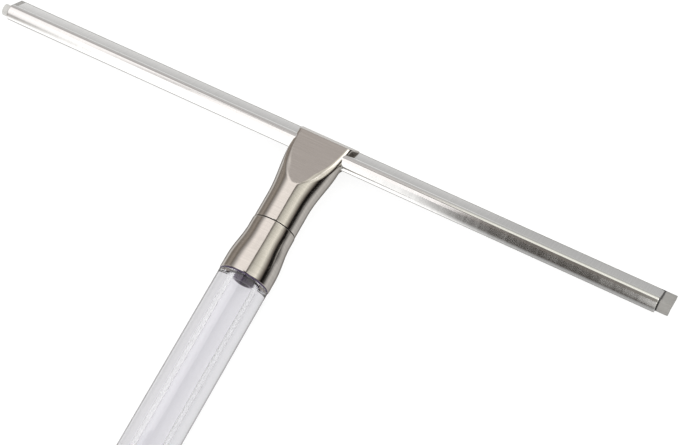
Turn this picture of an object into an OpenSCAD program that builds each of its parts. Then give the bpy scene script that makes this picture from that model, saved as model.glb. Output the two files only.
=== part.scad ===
// Window cleaning squeegee: a folded sheet channel with a rubber blade, a cast head and a clear screw-on handle.
// Every sub-part is drawn in the handle's frame: the handle's axis is Y and points to the head, X runs along
// the blade, Z points to the faceted front, and Y = 0 is the ferrule's lower rim. in_frame() then moves it to
// the part's own frame, whose origin is the middle of the bounding box on the surface that the squeegee lies on.

/* [Blade] */
// Length of the metal channel
channel_len = 305; // [200:5:450]
// Outer radius of the channel's tube
tube_r = 3.45; // [3.2:0.05:4]
// Thickness of the channel's sheet
sheet = 0.8; // [0.6:0.05:0.9]
// Length of the lips, from the tube's centre to their edge
lip_len = 11.3; // [9:0.1:12]
// Angle between the lips and the handle's axis
blade_tilt = 43; // [35:1:50]
// Distance along the handle from the ferrule's rim to the tube's centre
tube_y = 65; // [64:0.5:68]
// Thickness of the rubber blade
fin_t = 1.6; // [1.2:0.1:2]
// Reach of the rubber from the tube's centre to its wiping edge
rubber_reach = 13.6; // [13:0.1:16]
// How far the rubber stands out of the channel on the left
rubber_out_left = 3; // [0:0.5:8]
// How far the rubber stands out of the channel on the right
rubber_out_right = 5.5; // [0:0.5:8]

/* [Head] */
// Radius of the neck where it meets the ferrule
neck_r = 9.5; // [9:0.1:10]
// Place of the facet's lower tip along the handle
facet_y = 44; // [42:0.5:46]
// Slope of the facet against the handle's axis
facet_tilt = 18.5; // [16:0.5:20]
// Width of the facet at its upper edge
crest_w = 24; // [22:0.5:26]
// Width of the head's rear upper edge
rear_w = 27.2; // [25:0.2:30]
// Diameter of the set screws that clamp the channel
set_screw_d = 4; // [3:0.5:4]
// Distance between the two set screws
set_screw_gap = 12; // [10:1:14]

/* [Ferrule] */
// Diameter of the ferrule's lower rim
rim_d = 22.5; // [22:0.1:24]
// Radius of the ferrule at the seam with the neck
seam_r = 9.7; // [9.2:0.1:10]
// Length of the ferrule
ferrule_len = 25.5; // [24:0.5:28]

/* [Handle] */
// Diameter of the clear rod
rod_d = 22; // [20:0.5:22]
// Visible length of the clear rod
rod_len = 151.5; // [100:0.5:250]
// Diameter of the bore through the rod
rod_bore_d = 9; // [8:0.5:10]
// Thickness of the gasket at each end of the rod
gasket_t = 0.5; // [0.3:0.1:1]
// Length of the end cap's solid part
cap_len = 13; // [12:0.5:18]
// Diameter of the hanging hole in the end cap
hang_hole_d = 6; // [4:0.5:7]
// Outer radius of the hanging eye
eye_r = 7; // [6:0.5:8]
// Thickness of the hanging eye
eye_t = 7; // [5:0.5:8]

/* [Fasteners] */
// Nominal diameter of the studs
stud_d = 6; // [5:0.5:6]
// Length of the neck stud inside the handle's insert, which is the travel when it is unscrewed
engagement = 10; // [8:1:12]

/* [Hidden] */
$fn = 96;
eps = 0.01;
run_gap = 0.05;      // running clearance, per side
slide_gap = 0.1;     // clearance of the rubber in the channel, per side
free_gap = 0.3;      // clearance of a hole that a stud passes through, per side
over = 1;            // how far a cut runs past the face that it opens
cutter = 60;         // size of a cut that goes right through the head
rim_r = rim_d / 2;
rod_r = rod_d / 2;
bore_r = rod_bore_d / 2;
stud_r = stud_d / 2;
crest_y = 70.7;      // upper edge of the facet
slot_half = fin_t / 2 + slide_gap;
lip_half = slot_half + sheet;
// The tube's height puts the wiping edge level with the rim's lowest point.
tube_z = rubber_reach * sin(blade_tilt) + fin_t / 2 * cos(blade_tilt) - rim_r;
// The seam: the ferrule's top, a thin washer with running gaps, the neck's lower face
washer_t = 0.3;
neck_y = ferrule_len + washer_t + 2 * run_gap;
spigot_r = 8;
spigot_len = 14;
insert_low = -2.8;   // lower end of the upper insert, below the rim
stud_top = 43;
rod_end = -gasket_t - rod_len;
cap_y = rod_end - gasket_t;
insert_len = 16;
cap_stud_half = 10;
cap_rim_len = 3;     // the cap's straight rim, before it eases in
eye_neck = 5;        // from the cap's end to the middle of the eye
eye_y = cap_y - cap_len - eye_neck;
// Pocket of the clamp shoe behind the tube
shoe_y = 64;
shoe_w = 4.4;
shoe_len = 18;
shoe_h = 3;
shoe_back = -6.3;
screw_back = -9;
socket_d = 2.3;      // hexagon socket of the set screws
socket_depth = 1.6;
back_z = -9.4;       // the head's flat back
// Middle of the bounding box
front_y = tube_y + rubber_reach * cos(blade_tilt) + fin_t / 2 * sin(blade_tilt);
mid_x = (rubber_out_right - rubber_out_left) / 2;
mid_y = (front_y + eye_y - eye_r) / 2;
// The head's rear edges: one behind the wiping edge, and the heel below it
rear_y = front_y - 0.3;
rear_z = -8.2;
heel_y = crest_y - 0.2;
heel_z = -10.4;
heel_w = rear_w - 0.6;

module in_frame() { translate([-mid_x, -mid_y, rim_r]) children(); }

// A cylinder along the handle's axis, from y0 to y1
module along(y0, y1, r) { translate([0, y0, 0]) rotate([-90, 0, 0]) cylinder(h = y1 - y0, r = r); }

module ring(y0, y1, r_out, r_in) {
    difference() {
        along(y0, y1, r_out);
        along(y0 - over, y1 + over, r_in);
    }
}

// Turns a profile of [radius, y] points about the handle's axis.
module turned(points) { rotate([-90, 0, 0]) rotate_extrude() polygon(points); }

// Extrudes a section drawn in the (Y, Z) plane along X, between x0 and x1.
module section(x0, x1) { translate([x0, 0, 0]) rotate([90, 0, 90]) linear_extrude(x1 - x0) children(); }

// Places a section whose X axis runs along the lips and whose origin is the tube's centre.
module at_tube() { translate([tube_y, tube_z]) rotate(-blade_tilt) children(); }

// An easing from 0 to 1 without a slope at its ends
function ease(t) = (1 - cos(180 * min(max(t, 0), 1))) / 2;

// ---- Blade ----

module channel_outline() {
    circle(r = tube_r);
    translate([0, -lip_half]) square([lip_len, 2 * lip_half]);
}

module channel() {
    color("gainsboro") section(-channel_len / 2, channel_len / 2) at_tube() difference() {
        channel_outline();
        circle(r = tube_r - sheet);
        translate([0, -slot_half]) square([lip_len + over, 2 * slot_half]);
    }
}

module rubber_blade() {
    color("darkgray")
    section(-channel_len / 2 - rubber_out_left, channel_len / 2 + rubber_out_right) at_tube() {
        circle(r = tube_r - sheet - slide_gap);
        translate([0, -fin_t / 2]) square([rubber_reach, fin_t]);
    }
}

// ---- Head ----

function facet_z(y) = neck_r - (y - facet_y) * tan(facet_tilt);

// A thin oval slab across the neck
module slab(y, half_w) {
    translate([0, y, 0]) rotate([-90, 0, 0]) scale([half_w / neck_r, 1, 1]) cylinder(h = eps, r = neck_r, $fn = 48);
}

// A thin rod across the head, of the given width, which hull() uses as an edge
module edge(y, z, w) { section(-w / 2, w / 2) translate([y, z]) square(eps); }

// Half width of the neck at y: straight up to the flare, then wider up to the head
flare = [[37, 9.5], [44, 9.9], [50, 10.7], [56, 11.5], [61, 11.9]];

module neck_body() {
    along(neck_y, flare[0][0] + eps, neck_r);
    for (i = [0 : len(flare) - 2]) hull() {
        slab(flare[i][0], flare[i][1]);
        slab(flare[i + 1][0], flare[i + 1][1]);
    }
    hull() {
        slab(flare[4][0], flare[4][1]);
        edge(crest_y, facet_z(crest_y), crest_w);
        edge(rear_y, rear_z, rear_w);
        edge(heel_y, heel_z, heel_w);
        edge(tube_y + 1, back_z, 2 * flare[4][1]);
    }
}

module neck() {
    color("silver") difference() {
        neck_body();
        // The front facet
        translate([0, facet_y, neck_r]) rotate([-facet_tilt, 0, 0])
            translate([-cutter / 2, -cutter / 3, 0]) cube([cutter, cutter, cutter / 2]);
        // The slot that the channel lies in, open towards the wiping edge
        section(-cutter / 2, cutter / 2) at_tube() {
            channel_outline();
            translate([0, -lip_half]) square([cutter / 3, 2 * lip_half]);
        }
        shoe_box();
        for (side = [-1, 1]) at_screw(side, heel_z - over)
            cylinder(h = shoe_back - heel_z + 2 * over, r = set_screw_d / 2);
        // The blind hole for the neck stud
        along(neck_y - over, stud_top, stud_r);
    }
}

module shoe_box() {
    translate([-shoe_len / 2, shoe_y - shoe_w / 2, shoe_back]) cube([shoe_len, shoe_w, shoe_h]);
}

// Places a set screw's part with its lower end at height z, on the screw's own axis.
module at_screw(side, z) { translate([side * set_screw_gap / 2, shoe_y, z]) children(); }

module clamp_shoe() {
    color("goldenrod") difference() {
        shoe_box();
        section(-cutter / 2, cutter / 2) at_tube() channel_outline();
    }
}

module set_screws() {
    for (side = [-1, 1]) color("dimgray") at_screw(side, screw_back) difference() {
        cylinder(h = shoe_back - screw_back, r = set_screw_d / 2);
        // The hexagon socket
        translate([0, 0, -over]) cylinder(h = socket_depth + over, d = socket_d, $fn = 6);
    }
}

module neck_stud() { color("dimgray") along(spigot_len - engagement, stud_top, stud_r); }

// ---- Ferrule and handle ----

module seam_washer() {
    color("dimgray") ring(ferrule_len + run_gap, neck_y - run_gap, neck_r - free_gap, stud_r + free_gap);
}

// The ferrule keeps its rim's radius for a while and then eases in to the seam.
ease_from = 6;
ease_to = 22;
steps = 20;
function ferrule_r(y) = rim_r - (rim_r - seam_r) * ease((y - ease_from) / (ease_to - ease_from));

module ferrule() {
    rise = [for (i = [0 : steps]) let (y = ease_from + (ease_to - ease_from) * i / steps) [ferrule_r(y), y]];
    color("silver") difference() {
        turned(concat([[0, 0], [rim_r, 0]], rise, [[seam_r, ferrule_len], [0, ferrule_len]]));
        along(-over, spigot_len, spigot_r);
        along(0, ferrule_len + over, stud_r + free_gap);
    }
}

module rim_gasket() { color("thistle") ring(-gasket_t, 0, rod_r, spigot_r); }

module handle_rod() {
    color("lavender", 0.4) difference() {
        union() {
            along(rod_end, -gasket_t, rod_r);
            along(-gasket_t - over, spigot_len, spigot_r);
        }
        along(rod_end - over, spigot_len + over, bore_r);
    }
}

module upper_insert() { color("gray") ring(insert_low, spigot_len, bore_r, stud_r + run_gap); }

module lower_insert() { color("gray") ring(rod_end, rod_end + insert_len, bore_r, stud_r); }

module cap_gasket() { color("thistle") ring(cap_y, rod_end, rod_r, stud_r); }

module cap_stud() { color("dimgray") along(cap_y - cap_stud_half, cap_y + cap_stud_half, stud_r); }

// The cap mirrors the ferrule: a straight rim that eases in to the hanging eye.
module end_cap() {
    cap_end = cap_y - cap_len;
    rise = [for (i = [0 : steps]) let (t = i / steps)
        [rim_r - (rim_r - eye_r) * ease(t), cap_y - cap_rim_len - (cap_len - cap_rim_len) * t]];
    color("silver") difference() {
        union() {
            turned(concat([[0, cap_y], [rim_r, cap_y]], rise, [[0, cap_end]]));
            intersection() {
                union() {
                    translate([0, eye_y, -eye_t / 2]) cylinder(h = eye_t, r = eye_r);
                    translate([-eye_r, eye_y, -eye_t / 2]) cube([2 * eye_r, cap_end - eye_y + over, eye_t]);
                }
                along(eye_y - eye_r, cap_end + over, eye_r);
            }
        }
        translate([0, eye_y, -cutter / 2]) cylinder(h = cutter, d = hang_hole_d);
        along(cap_y - cap_stud_half, cap_y + over, stud_r);
    }
}

in_frame() neck();
in_frame() clamp_shoe();
in_frame() set_screws();
in_frame() channel();
in_frame() rubber_blade();
in_frame() neck_stud();
in_frame() seam_washer();
in_frame() ferrule();
in_frame() rim_gasket();
in_frame() handle_rod();
in_frame() upper_insert();
in_frame() lower_insert();
in_frame() cap_gasket();
in_frame() cap_stud();
in_frame() end_cap();
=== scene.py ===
# The looks of a window cleaning squeegee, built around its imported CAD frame.
# Every piece is drawn in millimetres in the handle's frame: Y runs along the handle to the head, X along the
# blade and Z out of the faceted front, with Y = 0 at the ferrule's lower rim. in_frame() takes a point from
# there to the row's frame, in metres.
import math

import bmesh
import bpy
import numpy as np
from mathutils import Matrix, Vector


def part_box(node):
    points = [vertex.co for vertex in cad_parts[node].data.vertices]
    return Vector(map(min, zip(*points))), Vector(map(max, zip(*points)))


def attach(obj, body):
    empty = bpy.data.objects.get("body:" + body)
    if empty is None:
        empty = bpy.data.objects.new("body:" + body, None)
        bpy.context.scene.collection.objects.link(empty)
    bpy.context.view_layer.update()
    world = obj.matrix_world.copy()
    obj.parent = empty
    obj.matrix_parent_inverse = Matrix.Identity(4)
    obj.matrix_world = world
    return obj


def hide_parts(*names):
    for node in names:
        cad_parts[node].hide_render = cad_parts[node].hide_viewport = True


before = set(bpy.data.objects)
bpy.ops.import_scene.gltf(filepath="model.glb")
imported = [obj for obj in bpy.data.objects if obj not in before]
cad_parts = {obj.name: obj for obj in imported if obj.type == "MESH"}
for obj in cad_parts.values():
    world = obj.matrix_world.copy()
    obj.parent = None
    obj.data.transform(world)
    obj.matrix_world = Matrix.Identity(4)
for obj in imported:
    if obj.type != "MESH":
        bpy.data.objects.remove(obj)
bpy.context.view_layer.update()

MM = 0.001
TURN_SEGMENTS = 144
FARTHEST = 40.0  # no skin is further than this from the handle's axis
HALVINGS = 45  # how often a ray's length is halved to find the skin

# ---- Dimensions, in millimetres, as in the CAD source ----

ferrule_low, ferrule_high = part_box("ferrule")
FRAME_ORIGIN = Vector((
    (ferrule_low.x + ferrule_high.x) / 2,
    ferrule_low.y,
    (ferrule_low.z + ferrule_high.z) / 2,
))


def reach(node, side, axis):
    """Where a CAD node ends in the handle's frame: side 0 is low and 1 is high, axis 0 to 2 is X to Z."""
    return (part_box(node)[side][axis] - FRAME_ORIGIN[axis]) / MM


RIM_R = reach("ferrule", 1, 0)
FERRULE_LEN = reach("ferrule", 1, 1)
SEAM_R = 9.7
EASE_FROM = 6
EASE_TO = 22
STUD_R = 3
FREE_GAP = 0.3
RUN_GAP = 0.05
SPIGOT_R = 8
SPIGOT_LEN = reach("handle_rod", 1, 1)
ROD_R = reach("handle_rod", 1, 0)
ROD_END = reach("handle_rod", 0, 1)
SHOULDER_Y = reach("rim_gasket", 0, 1)
BORE_R = reach("upper_insert", 1, 0)
CAP_Y = reach("end_cap", 1, 1)
CAP_END = reach("end_cap", 0, 1)
KNURL_RIDGES = 36
KNURL_DEPTH = 0.12
THREAD_PITCH = 1
THREAD_DEPTH = 0.5
THREAD_R = STUD_R - 0.02  # the thread's crests stay just inside the plain cylinder
HAIRLINE = 0.03  # air between two pieces that touch, so that no two faces coincide
SEATED = 0.01  # metal that is pressed into clear plastic reaches this far into it, so that no air shows

TUBE_Y = 65
TUBE_R = 3.45
SHEET = 0.8
FOLD_R = 1
LIP_LEN = 11.3
BLADE_TILT = math.radians(43)
FIN_HALF = 0.8
SLOT_HALF = 0.9
LIP_HALF = SLOT_HALF + SHEET
BEAD_R = 2.55
RUBBER_REACH = 13.6
TUBE_Z = RUBBER_REACH * math.sin(BLADE_TILT) + FIN_HALF * math.cos(BLADE_TILT) - RIM_R

NECK_Y = reach("neck", 0, 1)
NECK_R = 9.5
FACET_Y = 44
FACET_TILT = math.radians(18.5)
CHAMFER_LEAN = 0.6  # the side's share in the direction of the facet's chamfer
CHAMFER_SLOPE = 1.33  # length of that direction, so that the chamfer's distance is in millimetres
FACET_ROUND = 0.15
EDGE_ROUND = 0.3
CREST_Y = 70.7
REAR_Y = reach("neck", 1, 1)
REAR_Z = -8.2
HEEL_Z = -10.4
CUT_HALF = 25  # the slot's cutter reaches past both sides of the head
SHOE_Y = 64
SHOE_HALF_W = 9
SHOE_HALF_L = 2.2
SCREW_GAP = 12
SCREW_R = 2
SCREW_BACK = -9
SHOE_BACK = -6.3


# ---- Mesh helpers ----

def in_frame(x, y, z):
    return FRAME_ORIGIN + Vector((x, y, z)) * MM


def ease(t):
    """From 0 to 1 without a slope at its ends; t may be an array."""
    return (1 - np.cos(np.pi * np.clip(t, 0, 1))) / 2


def add_object(name, points, faces, sharp_deg=38):
    """A smooth-shaded mesh from points in the handle's frame, with an edge left sharp past the angle."""
    mesh = bpy.data.meshes.new(name)
    mesh.from_pydata([in_frame(*p) for p in points], [], faces)
    piece = bpy.data.objects.new(name, mesh)
    bpy.context.scene.collection.objects.link(piece)
    tidy_mesh(piece, sharp_deg)
    return piece


def tidy_mesh(piece, sharp_deg=38):
    """Joins points that coincide, turns the faces outwards and shades them smooth."""
    bm = bmesh.new()
    bm.from_mesh(piece.data)
    bmesh.ops.remove_doubles(bm, verts=bm.verts, dist=1e-7)
    bmesh.ops.dissolve_degenerate(bm, edges=bm.edges, dist=1e-7)
    bmesh.ops.recalc_face_normals(bm, faces=bm.faces)
    bm.to_mesh(piece.data)
    bm.free()
    piece.data.shade_smooth()
    piece.data.set_sharp_from_angle(angle=math.radians(sharp_deg))


def finish_piece(piece, body, nodes, material):
    piece.data.materials.clear()
    piece.data.materials.append(material)
    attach(piece, body)
    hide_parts(*nodes)
    return piece


def grid_faces(rings, segments, close_rings):
    """Faces of a grid of points whose rings go round; close_rings joins the last ring to the first."""
    faces = []
    for i in range(rings if close_rings else rings - 1):
        for j in range(segments):
            k = (j + 1) % segments
            n = (i + 1) % rings
            faces.append((i * segments + j, i * segments + k, n * segments + k, n * segments + j))
    return faces


def lathe(name, profile, segments=TURN_SEGMENTS, ripple=None):
    """Turns an outline of (radius, y) points about the handle's axis. An outline that starts and ends on the
    axis is a solid; any other is closed to a ring. ripple(radius, y, angle) changes the radius."""
    points = []
    for radius, y in profile:
        for j in range(segments):
            angle = 2 * math.pi * j / segments
            r = ripple(radius, y, angle) if ripple else radius
            points.append((r * math.sin(angle), y, r * math.cos(angle)))
    ring = profile[0][0] > 0
    return add_object(name, points, grid_faces(len(profile), segments, ring))


def rounded(corners, radius, steps=4, closed=True):
    """An outline with each of its corners replaced by an arc, or by a shorter one where a side is short."""
    result = []
    count = len(corners)
    for i, corner in enumerate(corners):
        here = Vector(corner[:2])
        if not closed and i in (0, count - 1):
            result.append(tuple(here))
            continue
        before = Vector(corners[i - 1][:2]) - here
        after = Vector(corners[(i + 1) % count][:2]) - here
        turn = before.angle(after)
        wanted = corner[2] if len(corner) > 2 else radius
        if math.pi - turn < math.radians(12) or wanted == 0:
            result.append(tuple(here))
            continue
        back = min(wanted / math.tan(turn / 2), 0.45 * before.length, 0.45 * after.length)
        arc_r = back * math.tan(turn / 2)
        middle = here + (before.normalized() + after.normalized()).normalized() * arc_r / math.sin(turn / 2)
        first = (here + before.normalized() * back - middle).normalized()
        last = (here + after.normalized() * back - middle).normalized()
        for step in range(steps + 1):
            result.append(tuple(middle + first.slerp(last, step / steps) * arc_r))
    return result


def arc(centre, radius, start_deg, end_deg, steps):
    """Points along an arc, both ends included."""
    angles = [math.radians(start_deg + (end_deg - start_deg) * i / steps) for i in range(steps + 1)]
    return [(centre[0] + radius * math.cos(a), centre[1] + radius * math.sin(a)) for a in angles]


def blade_point(x, u, v):
    """A point of the blade's section: u runs along the lips from the tube's centre, v out of their front."""
    y = TUBE_Y + u * math.cos(BLADE_TILT) + v * math.sin(BLADE_TILT)
    z = TUBE_Z - u * math.sin(BLADE_TILT) + v * math.cos(BLADE_TILT)
    return (x, y, z)


def blade_prism(name, outline, x0, x1, bevel=0.0, bevel_steps=3):
    """Runs a section along the blade. outline(inset) gives as many points at each inset from the surface."""
    stations = []
    for step in range(bevel_steps + 1 if bevel else 1):
        quarter = math.pi / 2 * step / bevel_steps
        stations.append((bevel * (1 - math.sin(quarter)), bevel * (1 - math.cos(quarter))))
    rings = [(x0 + deep, inset) for inset, deep in stations]
    rings += [(x1 - deep, inset) for inset, deep in reversed(stations)]
    points = []
    for x, inset in rings:
        points += [blade_point(x, u, v) for u, v in outline(inset)]
    count = len(outline(0))
    faces = grid_faces(len(rings), count, False)
    faces.append(tuple(range(count)))
    faces.append(tuple(range((len(rings) - 1) * count, len(rings) * count)))
    return add_object(name, points, faces)


def smooth_max(a, b, blend):
    """The larger of two distances, with the edge between them rounded over about the blend."""
    overlap = np.maximum(blend - np.abs(a - b), 0) / blend
    return np.maximum(a, b) + overlap * overlap * blend / 4


def smooth_min(a, b, blend):
    return -smooth_max(-a, -b, blend)


def cast_skin(name, distance, spine, segments):
    """The skin of a solid given by its signed distance. spine lists (y, z, pitch): rays leave the point
    (0, y, z) all round the handle's axis, leaning towards the head by the pitch, and stop at the surface."""
    y, z, pitch = (np.array(column, float)[:, None] for column in zip(*spine))
    angle = np.linspace(0, 2 * np.pi, segments, endpoint=False)[None, :]
    way_x = np.cos(pitch) * np.sin(angle)
    way_y = np.sin(pitch) * np.ones_like(angle)
    way_z = np.cos(pitch) * np.cos(angle)
    near = np.zeros_like(way_x)
    far = np.full_like(way_x, FARTHEST)
    for _ in range(HALVINGS):
        middle = (near + far) / 2
        outside = distance(middle * way_x, y + middle * way_y, z + middle * way_z) > 0
        far = np.where(outside, middle, far)
        near = np.where(outside, near, middle)
    skin = np.stack([far * way_x, y + far * way_y, z + far * way_z], axis=-1).reshape(-1, 3)
    return add_object(name, skin.tolist(), grid_faces(len(spine), segments, False))


def carve(piece, cutters, sharp_deg=30):
    """Cuts the cutters out of the piece and removes them."""
    for cutter in cutters:
        cut = piece.modifiers.new("cut", "BOOLEAN")
        cut.operation = "DIFFERENCE"
        cut.solver = "EXACT"
        cut.object = cutter
    evaluated = piece.evaluated_get(bpy.context.evaluated_depsgraph_get())
    carved = bpy.data.meshes.new_from_object(evaluated)
    piece.modifiers.clear()
    piece.data = carved
    for cutter in cutters:
        bpy.data.objects.remove(cutter)
    piece.data.shade_smooth()
    piece.data.set_sharp_from_angle(angle=math.radians(sharp_deg))


def rod_along_z(name, x, y, z0, z1, profile, segments=64):
    """Turns (radius, share of the height) points about an axis along Z."""
    points = []
    for radius, share in profile:
        z = z0 + (z1 - z0) * share
        for j in range(segments):
            angle = 2 * math.pi * j / segments
            points.append((x + radius * math.cos(angle), y + radius * math.sin(angle), z))
    return add_object(name, points, grid_faces(len(profile), segments, False))


def box_piece(name, low, high):
    corners = [(x, y, z) for x in (low[0], high[0]) for y in (low[1], high[1]) for z in (low[2], high[2])]
    faces = [(0, 1, 3, 2), (4, 6, 7, 5), (0, 4, 5, 1), (2, 3, 7, 6), (0, 2, 6, 4), (1, 5, 7, 3)]
    return add_object(name, corners, faces)


# ---- Materials ----

class Shader:
    """A material's node tree with short calls for the nodes that are used here."""

    def __init__(self, name):
        self.material = bpy.data.materials.new(name)
        self.material.use_nodes = True
        self.nodes = self.material.node_tree.nodes
        self.links = self.material.node_tree.links
        self.surface = next(n for n in self.nodes if n.type == "BSDF_PRINCIPLED")

    def link(self, source, target):
        self.links.new(source, target)

    def place(self, scale):
        """The object's own coordinates, stretched: the scale is in cells a metre along X, Y and Z."""
        coordinates = self.nodes.new("ShaderNodeTexCoord")
        mapping = self.nodes.new("ShaderNodeMapping")
        mapping.inputs["Scale"].default_value = scale
        self.link(coordinates.outputs["Object"], mapping.inputs["Vector"])
        return mapping.outputs["Vector"]

    def noise(self, scale, detail=3.0, distortion=0.0):
        noise = self.nodes.new("ShaderNodeTexNoise")
        noise.inputs["Scale"].default_value = 1.0
        noise.inputs["Detail"].default_value = detail
        noise.inputs["Distortion"].default_value = distortion
        self.link(self.place(scale), noise.inputs["Vector"])
        return noise.outputs["Fac"]

    def spread(self, value, low, high, from_low=0.3, from_high=0.7):
        """Maps a value onto low to high."""
        ranged = self.nodes.new("ShaderNodeMapRange")
        ranged.inputs["From Min"].default_value = from_low
        ranged.inputs["From Max"].default_value = from_high
        ranged.inputs["To Min"].default_value = low
        ranged.inputs["To Max"].default_value = high
        self.link(value, ranged.inputs["Value"])
        return ranged.outputs["Result"]

    def mixed(self, share, first, second):
        """A colour between two others."""
        mix = self.nodes.new("ShaderNodeMix")
        mix.data_type = "RGBA"
        self.link(share, mix.inputs[0])
        mix.inputs[6].default_value = (*first, 1)
        mix.inputs[7].default_value = (*second, 1)
        return mix.outputs[2]

    def axis_range(self, axis, places, values):
        """A value that goes from one to another between two places along an object's own axis, in metres."""
        coordinates = self.nodes.new("ShaderNodeTexCoord")
        parts = self.nodes.new("ShaderNodeSeparateXYZ")
        self.link(coordinates.outputs["Object"], parts.inputs[0])
        return self.spread(parts.outputs[axis], values[0], values[1], places[0], places[1])

    def multiply(self, first, second):
        node = self.nodes.new("ShaderNodeMath")
        node.operation = "MULTIPLY"
        self.link(first, node.inputs[0])
        self.link(second, node.inputs[1])
        return node.outputs[0]

    def blend(self, share, first, fixed):
        """From a value to a fixed one."""
        mix = self.nodes.new("ShaderNodeMix")
        self.link(share, mix.inputs[0])
        self.link(first, mix.inputs[2])
        mix.inputs[3].default_value = fixed
        return mix.outputs[0]

    def painted(self, share, under, colour):
        """Paints a colour over another by a share."""
        mix = self.nodes.new("ShaderNodeMix")
        mix.data_type = "RGBA"
        self.link(share, mix.inputs[0])
        self.link(under, mix.inputs[6])
        mix.inputs[7].default_value = (*colour, 1)
        return mix.outputs[2]

    def bump(self, height, strength, distance):
        bump = self.nodes.new("ShaderNodeBump")
        bump.inputs["Strength"].default_value = strength
        bump.inputs["Distance"].default_value = distance
        self.link(height, bump.inputs["Height"])
        self.link(bump.outputs["Normal"], self.surface.inputs["Normal"])

    def set(self, **values):
        for socket, value in values.items():
            self.surface.inputs[socket.replace("_", " ")].default_value = value


def brushed_metal(name, dark, light, rough, grain_axis, anisotropy):
    """Metal brushed round an axis, or across it: the grain is fine along the axis and long round it."""
    shader = Shader(name)
    along = "XYZ".index(grain_axis)
    fine = [60.0, 60.0, 60.0]
    fine[along] = 3200.0
    broad = [14.0, 14.0, 14.0]
    broad[along] = 420.0
    grain = shader.noise(fine, detail=4.0)
    patches = shader.noise(broad, detail=2.0)
    shader.link(shader.mixed(shader.spread(grain, 0, 1), dark, light), shader.surface.inputs["Base Color"])
    shader.link(shader.spread(patches, rough[0], rough[1]), shader.surface.inputs["Roughness"])
    shader.bump(grain, 0.25, 2e-6)
    # The brush marks run round the part, so they spread a reflection along the axis alone
    axis = shader.nodes.new("ShaderNodeVectorTransform")
    axis.vector_type = "VECTOR"
    axis.convert_from = "OBJECT"
    axis.convert_to = "WORLD"
    axis.inputs[0].default_value = [i == along for i in range(3)]
    shader.link(axis.outputs[0], shader.surface.inputs["Tangent"])
    shader.set(Metallic=1.0, Anisotropic=anisotropy)
    return shader.material


def nickel_material():
    return brushed_metal(
        "brushed_nickel",
        dark=(0.665, 0.625, 0.58),
        light=(0.745, 0.705, 0.66),
        rough=(0.12, 0.16),
        grain_axis="Y",
        anisotropy=0.9,
    )


def channel_material():
    return brushed_metal(
        "channel_steel",
        dark=(0.88, 0.875, 0.868),
        light=(0.95, 0.945, 0.938),
        rough=(0.09, 0.13),
        grain_axis="X",
        anisotropy=0.8,
    )


WORN = 1.35  # how much brighter a turned ring is where it is rubbed
PLATED_COLOUR = (0.15, 0.135, 0.16)
INSERT_COLOUR = (0.05, 0.022, 0.078)
DARK_STEEL_COLOUR = (0.11, 0.11, 0.11)
BRASS_COLOUR = (0.62, 0.42, 0.17)


def turned_metal(name, colour, rough):
    """A small turned or plated part, with fine rings round the handle's axis."""
    shader = Shader(name)
    rings = shader.noise((90, 5200, 90), detail=2.0)
    worn = tuple(WORN * channel for channel in colour)
    shader.link(shader.mixed(shader.spread(rings, 0, 1), colour, worn), shader.surface.inputs["Base Color"])
    shader.link(shader.spread(rings, rough, rough + 0.12), shader.surface.inputs["Roughness"])
    shader.bump(rings, 0.3, 2e-6)
    shader.set(Metallic=1.0)
    return shader.material


def rubber_material():
    """Dense grey rubber with a faint mould grain, a painted shadow in a thin band at the channel's right end
    and a painted highlight on the bead where it stands out on the left."""
    shader = Shader("blade_rubber")
    cloud = shader.noise((120, 240, 240), detail=5.0)
    grain = shader.noise((2600, 2600, 2600), detail=3.0)
    colour = shader.mixed(shader.spread(cloud, 0, 1), (0.3, 0.29, 0.27), (0.38, 0.368, 0.345))
    left_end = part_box("channel")[0].x
    right_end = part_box("channel")[1].x
    # A painted shadow: the rubber is painted nearly black in a thin band at the channel's right end, where
    # the channel shades it
    shadow_starts = (right_end - 1.5 * MM, right_end - 1.2 * MM)
    shadow_stops = (right_end + 0.45 * MM, right_end + 0.8 * MM)
    painted_shadow = shader.multiply(
        shader.axis_range("X", shadow_starts, (0, 1)),
        shader.axis_range("X", shadow_stops, (1, 0)),
    )
    colour = shader.painted(painted_shadow, colour, (0.012, 0.011, 0.01))
    # A painted highlight: the bead's end that stands out past the channel's left end is painted pale
    bead_edge = in_frame(0, TUBE_Y + 2, 0).y
    bead_highlight = shader.multiply(
        shader.axis_range("X", (left_end - 0.5 * MM, left_end), (0.85, 0)),
        shader.axis_range("Y", (bead_edge, bead_edge + 2 * MM), (1, 0)),
    )
    colour = shader.painted(bead_highlight, colour, (0.72, 0.71, 0.68))
    shader.link(colour, shader.surface.inputs["Base Color"])
    shader.link(shader.spread(grain, 0.42, 0.58), shader.surface.inputs["Roughness"])
    shader.bump(grain, 0.3, 8e-6)
    shader.set(Coat_Weight=0.6, Coat_Roughness=0.22)
    return shader.material


def acrylic_material():
    """Polished clear acrylic, with hairline scratches from use."""
    shader = Shader("clear_acrylic")
    streaks = shader.noise((500, 26, 500), detail=3.0)
    tint = shader.mixed(shader.spread(streaks, 0, 1), (0.925, 0.92, 0.945), (0.945, 0.94, 0.965))
    shader.link(tint, shader.surface.inputs["Base Color"])
    shader.link(shader.spread(streaks, 0.0, 0.006, 0.5, 0.8), shader.surface.inputs["Roughness"])
    shader.set(Transmission_Weight=1.0, IOR=1.49, Coat_Weight=1.0, Coat_Roughness=0.04, Coat_IOR=1.5)
    return shader.material


def gasket_material():
    """Soft lilac plastic, half clear."""
    shader = Shader("gasket_plastic")
    cloud = shader.noise((700, 700, 700), detail=3.0)
    colour = shader.mixed(shader.spread(cloud, 0, 1), (0.1, 0.07, 0.135), (0.15, 0.11, 0.2))
    shader.link(colour, shader.surface.inputs["Base Color"])
    shader.link(shader.spread(cloud, 0.15, 0.3), shader.surface.inputs["Roughness"])
    shader.set(Transmission_Weight=0.25, IOR=1.46)
    return shader.material


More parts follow.
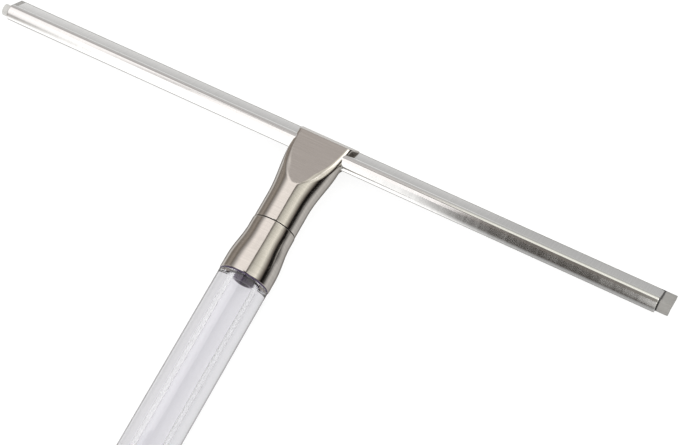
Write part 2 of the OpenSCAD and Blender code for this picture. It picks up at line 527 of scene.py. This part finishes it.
def washer_material():
    """Black nylon with a fine moulded grain."""
    shader = Shader("washer_plastic")
    grain = shader.noise((1800, 1800, 1800), detail=3.0)
    colour = shader.mixed(shader.spread(grain, 0, 1), (0.018, 0.018, 0.018), (0.035, 0.034, 0.033))
    shader.link(colour, shader.surface.inputs["Base Color"])
    shader.link(shader.spread(grain, 0.45, 0.65), shader.surface.inputs["Roughness"])
    shader.bump(grain, 0.2, 5e-6)
    return shader.material


# ---- Blade ----

def tube_wrap():
    """Centre of the fold between the tube and a lip, and the fold's angle as seen from the tube's centre."""
    height = LIP_HALF + FOLD_R
    along = math.sqrt((TUBE_R + FOLD_R) ** 2 - height ** 2)
    return along, height, math.degrees(math.atan2(height, along))


def channel_outside(inset):
    """The sheet's outer face, from the front lip round the tube to the back lip."""
    along, height, angle = tube_wrap()
    fold_r = FOLD_R + inset
    front = arc((along, height), fold_r, -90, angle - 180, 8)
    round_tube = arc((0, 0), TUBE_R - inset, angle, 360 - angle, 88)
    back = arc((along, -height), fold_r, 180 - angle, 90, 8)
    return front + round_tube[1:-1] + back


def channel_outline(inset):
    """The folded sheet: its outer face, the back lip's edge, its inner face and the front lip's edge."""
    along, height, angle = tube_wrap()
    fold_r = FOLD_R + SHEET - inset
    middle = (LIP_HALF + SLOT_HALF) / 2
    edge = (LIP_LEN - SHEET / 2, SHEET / 2 - inset)
    back_edge = arc((edge[0], -middle), edge[1], -90, 90, 8)
    inner_back = arc((along, -height), fold_r, 90, 180 - angle, 8)
    inner_tube = arc((0, 0), TUBE_R - SHEET + inset, 360 - angle, angle, 72)
    inner_front = arc((along, height), fold_r, angle - 180, -90, 8)
    front_edge = arc((edge[0], middle), edge[1], -90, 90, 8)
    return channel_outside(inset) + back_edge + inner_back + inner_tube[1:-1] + inner_front + front_edge


def make_channel(material):
    low = reach("channel", 0, 0)
    high = reach("channel", 1, 0)
    piece = blade_prism("folded_channel", channel_outline, low, high, bevel=0.32, bevel_steps=4)
    finish_piece(piece, "head", ["channel"], material)


def rubber_outline(inset):
    """A round bead with a fin that ends in a crisp wiping edge."""
    fillet = 0.5
    fin = FIN_HALF - inset
    edge_r = 0.08
    along = math.sqrt((BEAD_R + fillet) ** 2 - (FIN_HALF + fillet) ** 2)
    angle = math.degrees(math.atan2(FIN_HALF + fillet, along))
    bead = arc((0, 0), BEAD_R - inset, angle, 360 - angle, 56)
    lower = arc((along, -(FIN_HALF + fillet)), fillet + inset, 180 - angle, 90, 5)
    upper = arc((along, FIN_HALF + fillet), fillet + inset, -90, angle - 180, 5)
    tip = RUBBER_REACH - inset - edge_r
    lower_edge = arc((tip, -fin + edge_r), edge_r, -90, 0, 3)
    upper_edge = arc((tip, fin - edge_r), edge_r, 0, 90, 3)
    return bead[1:-1] + lower + lower_edge + upper_edge + upper


def make_rubber(material):
    low = reach("rubber_blade", 0, 0)
    high = reach("rubber_blade", 1, 0)
    piece = blade_prism("rubber_strip", rubber_outline, low, high, bevel=0.1)
    finish_piece(piece, "blade", ["rubber_blade"], material)


# ---- Head ----

def line_distance(y, z, start, end):
    """Signed distance to a line in the (Y, Z) plane; positive to the left of the way from start to end."""
    along_y = end[0] - start[0]
    along_z = end[1] - start[1]
    length = math.hypot(along_y, along_z)
    return (along_y * (z - start[1]) - along_z * (y - start[0])) / length


def neck_distance(x, y, z):
    """The casting: a round neck that flares to the head, cut by the facet, the sloping top and the heel."""
    behind = np.clip(-z / 8, 0, 1)
    flare = 2.4 * ease((y - 37) / 25)
    shoulder = (0.35 + 1.5 * behind) * ease((y - 61) / 12)
    half_w = NECK_R + flare + shoulder
    half_h = np.where(z > 0, NECK_R, NECK_R + 0.9 * ease((y - 62) / 9))
    # The front stays round; the back turns from round to nearly square
    back_power = 2 + 0.6 * ease((y - 40) / 21) + 7 * ease((y - 60) / 9)
    power = np.where(z > 0, 2, back_power)
    body = ((np.abs(x) / half_w) ** power + (np.abs(z) / half_h) ** power) ** (1 / power) - 1
    body = body * NECK_R
    facet = (y - FACET_Y) * math.sin(FACET_TILT) + (z - NECK_R) * math.cos(FACET_TILT)
    crest = (CREST_Y, NECK_R - (CREST_Y - FACET_Y) * math.tan(FACET_TILT))
    rear = (REAR_Y, REAR_Z)
    heel = (CREST_Y, HEEL_Z)
    top = smooth_max(-line_distance(y, z, rear, crest), -line_distance(y, z, heel, rear), 0.5)
    # The facet's curved edge is chamfered, leaning more to the facet than to the side. The chamfer widens
    # from nothing at the facet's tip, and so does the round between it and the body.
    chamfer_width = 0.62 * ease((y - FACET_Y) / 9)
    chamfer_round = 0.2 + 0.6 * ease((y - FACET_Y) / 14)
    chamfer = (facet + CHAMFER_LEAN * body + chamfer_width) / CHAMFER_SLOPE
    shaped = smooth_max(smooth_max(body, chamfer, chamfer_round), facet, FACET_ROUND)
    return smooth_max(smooth_max(shaped, top, EDGE_ROUND), NECK_Y - y, EDGE_ROUND)


# Pitches, in degrees, of the rays that round a flat end off from its edge to its middle
END_FAN = [0.8, 1.5, 2.2, 2.8, 3.3, 3.8, 4.3, 4.9, 5.6, 7, 9, 14, 30, 60, 90]


def neck_spine():
    """Rays for the neck's skin: a fan at its lower face, rings up to the head and a fan over the top."""
    low_y = NECK_Y + 0.6
    bend_y = 42
    high_y = 62
    high_z = -3
    spine = [(low_y, 0, math.radians(-pitch)) for pitch in reversed(END_FAN)]
    spine += [(y, 0, 0) for y in np.arange(low_y, bend_y, 0.8)]
    for y in np.arange(bend_y, high_y, 0.35):
        spine.append((y, high_z * float(ease((y - bend_y) / (high_y - bend_y))), 0))
    steps = 110
    spine += [(high_y, high_z, math.pi / 2 * i / steps) for i in range(steps + 1)]
    return spine


def slot_outline(inset):
    """The slot in the head: the channel's outer face, run out past the wiping edge."""
    past_edge = 30
    return [(past_edge, LIP_HALF)] + channel_outside(inset) + [(past_edge, -LIP_HALF)]


def make_neck(material):
    piece = cast_skin("neck_casting", neck_distance, neck_spine(), 288)
    slot = blade_prism("slot_cutter", slot_outline, -CUT_HALF, CUT_HALF)
    pocket_low = (-SHOE_HALF_W, SHOE_Y - SHOE_HALF_L, SHOE_BACK)
    pocket_high = (SHOE_HALF_W, SHOE_Y + SHOE_HALF_L, SHOE_BACK + 3)
    cutters = [slot, box_piece("shoe_cutter", pocket_low, pocket_high)]
    profile = [(0, 0), (SCREW_R, 0), (SCREW_R, 1), (0, 1)]
    for side in (-1, 1):
        x = side * SCREW_GAP / 2
        cutters.append(rod_along_z("screw_cutter", x, SHOE_Y, HEEL_Z - 3.6, SHOE_BACK + 1, profile))
    carve(piece, cutters)
    finish_piece(piece, "head", ["neck"], material)


# ---- Ferrule, handle and end cap ----

def make_ferrule(material):
    """The straight rim eases in to the seam; the recess takes the rod's spigot."""
    steps = 40
    rise = []
    for i in range(steps + 1):
        y = EASE_FROM + (EASE_TO - EASE_FROM) * i / steps
        rise.append((RIM_R - (RIM_R - SEAM_R) * float(ease(i / steps)), y))
    recess = SPIGOT_R - SEATED
    outline = [(RIM_R, 0, 0.45)] + rise + [(SEAM_R, FERRULE_LEN, 0.25)]
    outline += [(STUD_R + FREE_GAP, FERRULE_LEN, 0.3), (STUD_R + FREE_GAP, SPIGOT_LEN, 0.1)]
    outline += [(recess, SPIGOT_LEN, 0.2), (recess, 0, 0.2)]
    piece = lathe("turned_ferrule", rounded(outline, 0))
    finish_piece(piece, "handle", ["ferrule"], material)


def make_rod(material):
    """The clear rod with its shoulder, spigot and bore."""
    bore = BORE_R
    outline = [(bore, ROD_END + HAIRLINE, 0.2), (ROD_R, ROD_END + HAIRLINE, 0.5), (ROD_R, SHOULDER_Y, 0.35)]
    outline += [(SPIGOT_R, SHOULDER_Y, 0.2), (SPIGOT_R, SPIGOT_LEN - HAIRLINE, 0.4)]
    outline += [(bore, SPIGOT_LEN - HAIRLINE, 0.2)]
    piece = lathe("clear_rod", rounded(outline, 0), segments=192)
    finish_piece(piece, "handle", ["handle_rod"], material)


def make_ring(name, node, body, material, inner, outer):
    """A flat washer or gasket with rounded edges, in the place of its CAD node."""
    low = reach(node, 0, 1) + HAIRLINE
    high = reach(node, 1, 1) - HAIRLINE
    corners = [(inner, low), (outer, low), (outer, high), (inner, high)]
    piece = lathe(name, rounded(corners, 0.12))
    finish_piece(piece, body, [node], material)


def make_washer(material):
    """The thin washer in the seam, clear of the stud and set back from the neck's outside."""
    inner = STUD_R + FREE_GAP
    outer = NECK_R - FREE_GAP
    make_ring("washer_ring", "seam_washer", "washer", material, inner, outer)


def knurl(radius, y, angle):
    """Shallow ridges along the outside of an insert."""
    if radius < BORE_R - 0.1:
        return radius
    return radius - KNURL_DEPTH * (0.5 - 0.5 * math.cos(KNURL_RIDGES * angle))


def make_insert(name, node, inner, nose, material):
    """A knurled insert with a groove round its middle and a rounded nose at its lower end."""
    low = reach(node, 0, 1)
    high = reach(node, 1, 1) - 2 * HAIRLINE
    middle = (low + high) / 2
    outer = BORE_R + SEATED
    groove_r = outer - 0.7
    corners = [(inner, low, 0.3), (outer, low, nose)]
    corners += [(outer, middle - 1.2, 0.2), (groove_r, middle - 0.8, 0.2)]
    corners += [(groove_r, middle + 0.8, 0.2), (outer, middle + 1.2, 0.2)]
    corners += [(outer, high, 0.4), (inner, high, 0.4)]
    piece = lathe(name, rounded(corners, 0), segments=288, ripple=knurl)
    finish_piece(piece, "handle", [node], material)


def make_stud(name, node, body, material):
    """A threaded stud: one right-handed helical ridge, run out at both chamfered ends."""
    low = reach(node, 0, 1) + HAIRLINE
    high = reach(node, 1, 1) - HAIRLINE
    steps = int((high - low) / THREAD_PITCH * 10)
    chamfer = 0.8
    profile = [(0, low)]
    for i in range(steps + 1):
        y = low + (high - low) * i / steps
        from_end = min(y - low, high - y)
        profile.append((THREAD_R - max(0, chamfer - from_end) * 0.8, y))
    profile.append((0, high))

    def helix(radius, y, angle):
        if radius == 0:
            return 0
        phase = (y / THREAD_PITCH - angle / (2 * math.pi)) % 1
        ridge = abs(2 * phase - 1)
        return min(radius, THREAD_R - THREAD_DEPTH * min(1, 1.25 * (1 - ridge)))

    piece = lathe(name, profile, segments=48, ripple=helix)
    finish_piece(piece, body, [node], material)


EYE_R = 7
EYE_HALF = 3.5
EYE_Y = CAP_END + EYE_R
HANG_HOLE_R = 3
CAP_LEN = 13
CAP_RIM_LEN = 3


def cap_distance(x, y, z):
    """The cap mirrors the ferrule and flows into a flat hanging eye."""
    down = (CAP_Y - CAP_RIM_LEN - y) / (CAP_LEN - CAP_RIM_LEN)
    from_axis = np.hypot(x, z)
    turned = smooth_max(from_axis - (RIM_R - (RIM_R - EYE_R) * ease(down)), CAP_Y - CAP_LEN - y, 0.5)
    beside = np.where(y > EYE_Y, np.abs(x), np.hypot(x, y - EYE_Y)) - EYE_R
    eye = smooth_max(smooth_max(np.abs(z) - EYE_HALF, beside, 1.2), from_axis - EYE_R, 0.6)
    eye = np.maximum(eye, y - CAP_Y + 1)
    return smooth_max(smooth_min(turned, eye, 2), y - CAP_Y, 0.4)


def make_end_cap(material):
    low_y = EYE_Y + 4
    high_y = CAP_Y - 0.6
    steps = 60
    spine = [(low_y, 0, -math.pi / 2 * (1 - i / steps)) for i in range(steps)]
    spine += [(y, 0, 0) for y in np.arange(low_y, high_y, 0.35)]
    spine += [(high_y, 0, math.radians(pitch)) for pitch in END_FAN]
    piece = cast_skin("cap_casting", cap_distance, spine, 240)
    flare_r = 4.2
    flare = [(0, 0), (flare_r, 0), (flare_r, 0.3), (HANG_HOLE_R, 0.37)]
    flare += [(HANG_HOLE_R, 0.63), (flare_r, 0.7), (flare_r, 1), (0, 1)]
    hole = rod_along_z("hole_cutter", 0, EYE_Y, -EYE_HALF - 4.5, EYE_HALF + 4.5, flare)
    bore_end = CAP_Y - 10
    past_rim = CAP_Y + 1
    bore = lathe("bore_cutter", [(0, bore_end), (STUD_R, bore_end), (STUD_R, past_rim), (0, past_rim)])
    carve(piece, [hole, bore])
    finish_piece(piece, "handle", ["end_cap"], material)


# ---- Small parts of the head ----

def make_set_screws(material):
    """Two grub screws with hexagon sockets."""
    top = SHOE_BACK - HAIRLINE
    outside = SCREW_R - 0.02
    profile = [(0, 0), (SCREW_R - 0.35, 0), (outside, 0.12), (outside, 0.9), (SCREW_R - 0.3, 1), (0, 1)]
    socket_r = 1.33
    socket_profile = [(0, 0), (socket_r, 0), (socket_r, 0.85), (0, 1)]
    socket_low = SCREW_BACK - 1
    socket_high = SCREW_BACK + 1.7
    for number, side in enumerate((-1, 1)):
        x = side * SCREW_GAP / 2
        piece = rod_along_z("set_screw_%d" % number, x, SHOE_Y, SCREW_BACK, top, profile)
        socket = rod_along_z("socket_cutter", x, SHOE_Y, socket_low, socket_high, socket_profile, segments=6)
        carve(piece, [socket])
        finish_piece(piece, "head", ["set_screws"], material)


def dress_shoe(material):
    """The clamp shoe keeps its CAD shape."""
    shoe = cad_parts["clamp_shoe"]
    shoe.data.materials.clear()
    shoe.data.materials.append(material)


# ---- Studio ----

CAMERA_TARGET = Vector((0.02345, 0.08824, 0.0185))
CAMERA_AZIMUTH = math.radians(35)
CAMERA_ELEVATION = math.radians(66.72)
CAMERA_ROLL = math.radians(-7.96)
CAMERA_DISTANCE = 0.728
CAMERA_LENS = 95.43


def make_camera():
    level = math.cos(CAMERA_ELEVATION)
    back = Vector((
        math.sin(CAMERA_AZIMUTH) * level,
        -math.cos(CAMERA_AZIMUTH) * level,
        math.sin(CAMERA_ELEVATION),
    ))
    right = (-back).cross(Vector((0, 0, 1))).normalized()
    up = right.cross(-back)
    rolled_right = right * math.cos(CAMERA_ROLL) + up * math.sin(CAMERA_ROLL)
    rolled_up = up * math.cos(CAMERA_ROLL) - right * math.sin(CAMERA_ROLL)
    camera = bpy.data.objects.new("camera", bpy.data.cameras.new("camera"))
    camera.data.lens = CAMERA_LENS
    camera.data.sensor_width = 36
    camera.data.clip_start = 0.01
    camera.data.clip_end = 20
    turn = camera.matrix_world.to_3x3()
    turn.col[0] = rolled_right
    turn.col[1] = rolled_up
    turn.col[2] = back
    camera.matrix_world = turn.to_4x4()
    camera.location = CAMERA_TARGET + back * CAMERA_DISTANCE
    bpy.context.scene.collection.objects.link(camera)
    bpy.context.scene.camera = camera


class Sky:
    """The world's node tree: rings of light that are laid over each other by direction."""

    def __init__(self):
        self.world = bpy.data.worlds.new("studio")
        self.world.use_nodes = True
        self.tree = self.world.node_tree
        self.tree.nodes.clear()
        coordinates = self.tree.nodes.new("ShaderNodeTexCoord")
        self.direction = coordinates.outputs["Generated"]
        self.x = self.along((1, 0, 0))
        self.y = self.along((0, 1, 0))
        self.z = self.along((0, 0, 1))

    def math(self, operation, *values):
        node = self.tree.nodes.new("ShaderNodeMath")
        node.operation = operation
        for socket, value in zip(node.inputs, values):
            if isinstance(value, (int, float)):
                socket.default_value = value
            else:
                self.tree.links.new(value, socket)
        return node.outputs[0]

    def along(self, axis):
        """How far a direction points along an axis, from -1 to 1."""
        dot = self.tree.nodes.new("ShaderNodeVectorMath")
        dot.operation = "DOT_PRODUCT"
        self.tree.links.new(self.direction, dot.inputs[0])
        dot.inputs[1].default_value = axis
        return dot.outputs["Value"]

    def step(self, value, start, end):
        """0 before start and 1 after end, with a soft edge between; start may be the larger."""
        node = self.tree.nodes.new("ShaderNodeMapRange")
        node.interpolation_type = "SMOOTHSTEP"
        node.inputs["From Min"].default_value = min(start, end)
        node.inputs["From Max"].default_value = max(start, end)
        node.inputs["To Min"].default_value = 0 if start < end else 1
        node.inputs["To Max"].default_value = 1 if start < end else 0
        self.tree.links.new(value, node.inputs["Value"])
        return node.outputs["Result"]

    def ring(self, side, lights):
        """A ring of light from overhead, at 0 degrees, down to the side at 90 and round under the floor.
        lights lists (degrees, brightness, tint) in order of the angle."""
        angle = self.math("ARCTAN2", side, self.z)
        turn = self.math("MULTIPLY_ADD", angle, 1 / (2 * math.pi), 0.5)
        node = self.tree.nodes.new("ShaderNodeValToRGB")
        stops = node.color_ramp.elements
        for number, (degrees, brightness, tint) in enumerate(lights):
            place = degrees / 360 + 0.5
            stop = stops[number] if number < 2 else stops.new(place)
            stop.position = place
            stop.color = (*(brightness * channel for channel in tint), 1)
        self.tree.links.new(turn, node.inputs["Fac"])
        return node.outputs["Color"]

    def both(self, first, *others):
        """The product of masks: 1 only where every one of them is."""
        for other in others:
            first = self.math("MULTIPLY", first, other)
        return first

    def over(self, below, above, mask):
        """Lays a colour over another where the mask is 1. Each may be a socket or a fixed colour."""
        mix = self.tree.nodes.new("ShaderNodeMix")
        mix.data_type = "RGBA"
        self.tree.links.new(mask, mix.inputs[0])
        for socket, colour in ((mix.inputs[6], below), (mix.inputs[7], above)):
            if isinstance(colour, tuple):
                socket.default_value = (*colour, 1)
            else:
                self.tree.links.new(colour, socket)
        return mix.outputs[2]


PINK = (1.0, 0.965, 0.95)
ROSE = (1.0, 0.95, 0.93)
BROWN = (1.0, 0.9, 0.81)
CREAM = (1.0, 0.99, 0.905)
GREY = (1.0, 0.995, 0.985)

# What metal mirrors, by the angle from overhead towards +X: the ring that crosses over the handle
OVER_HANDLE = [
    (-180, 0.8, GREY), (-118, 0.74, GREY), (-108, 0.27, BROWN), (-98, 0.24, BROWN), (-83, 0.38, BROWN),
    (-70, 0.2, BROWN), (-58, 0.45, PINK), (-45, 1.0, PINK), (-36, 1.14, PINK), (-31, 1.12, PINK),
    (-26, 0.6, PINK), (-8, 0.16, BROWN), (6, 0.16, BROWN), (16, 0.6, CREAM), (36, 0.89, CREAM),
    (48, 1.03, CREAM), (58, 0.62, CREAM), (69, 0.24, BROWN), (78, 0.0, BROWN), (89, 0.02, BROWN),
    (97, 0.1, GREY), (106, 0.45, GREY), (116, 0.68, GREY), (132, 0.57, GREY), (160, 0.5, GREY),
    (180, 0.8, GREY),
]
# By the angle from overhead towards -Y: the ring on the -X side, which the middle of the blade mirrors
OVER_LEFT = [
    (-180, 0.9, GREY), (-130, 0.9, GREY), (-113, 0.525, GREY), (-97, 0.52, GREY), (-82, 0.5, ROSE),
    (-56, 0.54, ROSE), (-42, 0.6, PINK), (-34, 1.25, GREY), (150, 1.25, GREY), (165, 0.8, GREY),
    (180, 0.9, GREY),
]
# The same further out, which the blade mirrors towards its -X end
OVER_FAR_LEFT = [
    (-180, 0.9, GREY), (-130, 0.9, GREY), (-113, 0.525, GREY), (-97, 0.52, GREY), (-82, 0.5, ROSE),
    (-55, 0.43, ROSE), (-48, 1.25, GREY), (150, 1.25, GREY), (165, 0.8, GREY), (180, 0.9, GREY),
]
# The same round the middle, which the blade mirrors at its +X end
OVER_MIDDLE = [
    (-180, 0.45, GREY), (-124, 0.46, GREY), (-110, 0.49, GREY), (-88, 0.45, CREAM), (-74, 0.86, CREAM),
    (-48, 0.92, CREAM), (-33, 0.45, CREAM), (-19, 0.25, BROWN), (-5, 0.09, BROWN), (70, 0.06, BROWN),
    (85, 0.1, BROWN), (103, 0.27, GREY), (125, 0.42, GREY), (180, 0.45, GREY),
]
RIGHT_LIGHT = (2.4, 2.38, 2.34)
RIGHT_DARK = (0.12, 0.11, 0.1)
SHADED_FLOOR = (0.3, 0.285, 0.27)
SHADOW_CORE = (0.06, 0.057, 0.054)
DARK_STRIP = (0.03, 0.028, 0.026)
SURROUND_LEFT = (0.74, 0.74, 0.76)
SURROUND_RIGHT = (0.42, 0.41, 0.43)
INTO_THE_FLOOR = (-0.227, 0.324, -0.918)  # the direction in which metal mirrors the floor behind its outline


def light_across(sky):
    """The rings over the blade, one beside the other along X, and the lights on the right."""
    front = sky.math("MULTIPLY", sky.y, -1.0)
    left = sky.ring(front, OVER_LEFT)
    far_left = sky.ring(front, OVER_FAR_LEFT)
    middle = sky.ring(front, OVER_MIDDLE)
    colour = sky.over(left, far_left, sky.step(sky.x, -0.29, -0.33))
    colour = sky.over(colour, middle, sky.step(sky.x, -0.15, -0.1))
    # The facet's bevelled edge mirrors a white light on the right, with darkness under it
    right = sky.step(sky.x, 0.12, 0.22)
    colour = sky.over(colour, RIGHT_LIGHT, right)
    return sky.over(colour, RIGHT_DARK, sky.both(right, sky.step(sky.z, 0.3, 0.15)))


def light_over_handle(sky, colour):
    """The handle's ring, over the handle, far out on the right, and on both sides of the front."""
    handle = sky.ring(sky.x, OVER_HANDLE)
    near_handle = sky.both(sky.step(sky.y, -0.08, 0.08), sky.step(sky.y, 0.74, 0.66))
    far_right = sky.step(sky.x, 0.75, 0.85)
    colour = sky.over(colour, handle, sky.math("MAXIMUM", near_handle, far_right))
    # Only other views mirror the two sides of the front
    before = sky.step(sky.y, 0.0, -0.1)
    front_left = sky.both(sky.step(sky.x, -0.5, -0.58), before)
    front_right = sky.both(sky.step(sky.x, 0.14, 0.26), before)
    return sky.over(colour, handle, sky.math("MAXIMUM", front_left, front_right))


def darken_below(sky, colour):
    """The floor in the object's own shadow, which metal mirrors along its outline."""
    below = sky.along(INTO_THE_FLOOR)
    before_head = sky.step(sky.y, 0.52, 0.44)
    colour = sky.over(colour, SHADED_FLOOR, sky.both(sky.step(below, 0.74, 0.88), before_head))
    colour = sky.over(colour, SHADOW_CORE, sky.both(sky.step(below, 0.92, 0.97), before_head))
    # A dark strip that draws the black line beside the facet's right edge
    beyond = sky.step(sky.y, 0.44, 0.51)
    rightward = sky.step(sky.x, 0.5, 0.62)
    strip = sky.both(beyond, rightward, sky.step(sky.z, 0.1, 0.02), sky.step(sky.z, -0.6, -0.45))
    return sky.over(colour, DARK_STRIP, strip)


def make_studio_light():
    """Rings of soft light as the metal mirrors them, and an even pale surround for everything else."""
    sky = Sky()
    mirrored = darken_below(sky, light_over_handle(sky, light_across(sky)))
    # Clear plastic looks out on a surround that is darker towards +X
    surround = sky.over(SURROUND_LEFT, SURROUND_RIGHT, sky.step(sky.x, -0.4, 0.4))
    rays = sky.tree.nodes.new("ShaderNodeLightPath")
    colour = sky.over((1.0, 1.0, 1.0), mirrored, rays.outputs["Is Glossy Ray"])
    colour = sky.over(colour, surround, rays.outputs["Is Transmission Ray"])
    background = sky.tree.nodes.new("ShaderNodeBackground")
    output = sky.tree.nodes.new("ShaderNodeOutputWorld")
    sky.tree.links.new(colour, background.inputs["Color"])
    sky.tree.links.new(background.outputs[0], output.inputs["Surface"])
    # No direct sampling, so that a metal sees the rings alone
    sky.world.cycles.sampling_method = "NONE"
    bpy.context.scene.world = sky.world


def flat_sheet(name, low, high, z, shader):
    """A flat rectangle of the studio, from its low to its high corner."""
    points = [(low[0], low[1], z), (high[0], low[1], z), (high[0], high[1], z), (low[0], high[1], z)]
    mesh = bpy.data.meshes.new(name)
    mesh.from_pydata(points, [], [(0, 1, 2, 3)])
    mesh.materials.append(shader.material)
    sheet = bpy.data.objects.new(name, mesh)
    bpy.context.scene.collection.objects.link(sheet)
    return sheet


PANEL_COLOUR = (1.12, 1.08, 1.062)
PANEL_LOW = Vector((-0.225, -0.036))
PANEL_HIGH = Vector((0.028, 0.3))
PANEL_HEIGHT = 0.36


def make_panel():
    """A soft box close over the neck. Its straight edge is the sharp line that runs along the neck."""
    neck_top = in_frame(0, 30, NECK_R)
    shader = Shader("panel_glow")
    shader.set(Base_Color=(0, 0, 0, 1), Specular_IOR_Level=0.0)
    shader.set(Emission_Color=(*PANEL_COLOUR, 1), Emission_Strength=1.0)
    low = neck_top.xy + PANEL_LOW
    high = neck_top.xy + PANEL_HIGH
    panel = flat_sheet("panel", low, high, neck_top.z + PANEL_HEIGHT, shader)
    panel.visible_camera = False
    panel.visible_diffuse = False
    panel.visible_transmission = False
    panel.visible_shadow = False


FLOOR_HALF = 3
FLOOR_GLOW = 0.82


def make_floor():
    """A plain pale floor. It glows a little, so that shadows on it stay faint."""
    shader = Shader("pale_floor")
    mottle = shader.noise((40, 40, 40), detail=2.0)
    shade = shader.mixed(shader.spread(mottle, 0, 1), (0.3, 0.3, 0.3), (0.31, 0.31, 0.31))
    shader.link(shade, shader.surface.inputs["Base Color"])
    shader.set(Roughness=1.0, Specular_IOR_Level=0.0, Emission_Color=(1, 1, 1, 1))
    rays = shader.nodes.new("ShaderNodeLightPath")
    # A painted pool of light on the floor: in what is seen through the clear rod, the floor glows far
    # brighter close under it than beside it
    through_rod = shader.multiply(
        shader.axis_range("X", (0.012, 0.03), (0.74, 0.45)),
        shader.axis_range("X", (-0.035, -0.012), (0.82, 1)),
    )
    glow = shader.blend(rays.outputs["Is Camera Ray"], through_rod, FLOOR_GLOW)
    shader.link(glow, shader.surface.inputs["Emission Strength"])
    floor = flat_sheet("floor", (-FLOOR_HALF, -FLOOR_HALF), (FLOOR_HALF, FLOOR_HALF), 0, shader)
    floor.visible_glossy = False


# ---- The whole ----

make_camera()
make_floor()
make_studio_light()
make_panel()
bpy.context.scene.view_settings.view_transform = "Standard"

nickel = nickel_material()
plated = turned_metal("plated_steel", PLATED_COLOUR, 0.3)
insert_metal = turned_metal("insert_metal", INSERT_COLOUR, 0.3)
gasket = gasket_material()

make_neck(nickel)
make_channel(channel_material())
make_rubber(rubber_material())
make_ferrule(nickel)
make_rod(acrylic_material())
make_end_cap(nickel)
make_washer(washer_material())
make_ring("rim_seal", "rim_gasket", "handle", gasket, SPIGOT_R + HAIRLINE, ROD_R)
make_ring("cap_seal", "cap_gasket", "handle", gasket, STUD_R + HAIRLINE, ROD_R)
make_insert("upper_knurled_insert", "upper_insert", STUD_R + RUN_GAP, 0.9, insert_metal)
make_insert("lower_knurled_insert", "lower_insert", STUD_R + HAIRLINE, 0.2, insert_metal)
make_stud("threaded_neck_stud", "neck_stud", "head", plated)
make_stud("threaded_cap_stud", "cap_stud", "handle", plated)
make_set_screws(turned_metal("dark_steel", DARK_STEEL_COLOUR, 0.35))
dress_shoe(turned_metal("brass", BRASS_COLOUR, 0.3))
